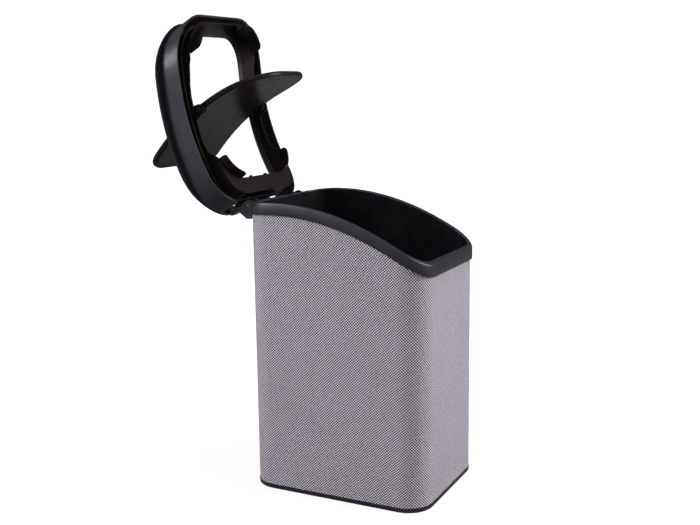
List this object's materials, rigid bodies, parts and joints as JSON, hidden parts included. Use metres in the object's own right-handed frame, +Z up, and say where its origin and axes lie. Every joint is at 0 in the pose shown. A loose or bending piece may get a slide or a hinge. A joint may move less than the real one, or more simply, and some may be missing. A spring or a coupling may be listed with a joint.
{
  "type": "swing-lid waste bin",
  "caption": "Tall rounded-rectangular waste bin with a sloping wavy rim, a rear-hinged lid frame and a free-swinging curved flap.",
  "frame": {"origin": "centre of the underside of the base", "axes": "+Z up, -Y to the low front of the rim, lid hinge axis along X at the back"},
  "size_m": [0.2112, 0.3937, 0.5871],
  "materials": {
    "patterned_wrap": "printed film with a fine diagonal dot weave",
    "black_satin_plastic": "fine satin",
    "black_gloss_plastic": "smooth gloss",
    "black_inner_plastic": "smooth, half-gloss",
    "rubber": "matt"
  },
  "bodies": {
    "bin": {"base_tray": "black_satin_plastic", "sleeve": "patterned_wrap", "tub": "black_inner_plastic", "rim_collar": "black_satin_plastic", "hinge_bracket_left": "black_satin_plastic", "hinge_bracket_right": "black_satin_plastic", "hinge_pin_left": "black_satin_plastic", "hinge_pin_right": "black_satin_plastic"},
    "lid": {"lid_frame": "black_satin_plastic", "lid_collar": "black_gloss_plastic", "flap_stop_ledge": "black_gloss_plastic", "hinge_arm_left": "black_satin_plastic", "hinge_arm_right": "black_satin_plastic", "stop_bumper_left": "rubber", "stop_bumper_right": "rubber", "pivot_bush_left": "rubber", "pivot_bush_right": "rubber"},
    "flap": {"flap": "black_gloss_plastic", "flap_liner": "black_gloss_plastic", "pivot_pin_left": "black_satin_plastic", "pivot_pin_right": "black_satin_plastic"}
  },
  "joints": [
    {"name": "lid_hinge", "type": "hinge", "parent": "bin", "child": "lid", "pos_m": [0, 0.1264, 0.351], "axis": [1, 0, 0], "range_deg": [0, 120]},
    {"name": "flap_pivot", "type": "hinge", "parent": "lid", "child": "flap", "pos_m": [0, 0.18719, 0.47029], "axis": [1, 0, 0], "range_deg": [-71, 20]}
  ]
}
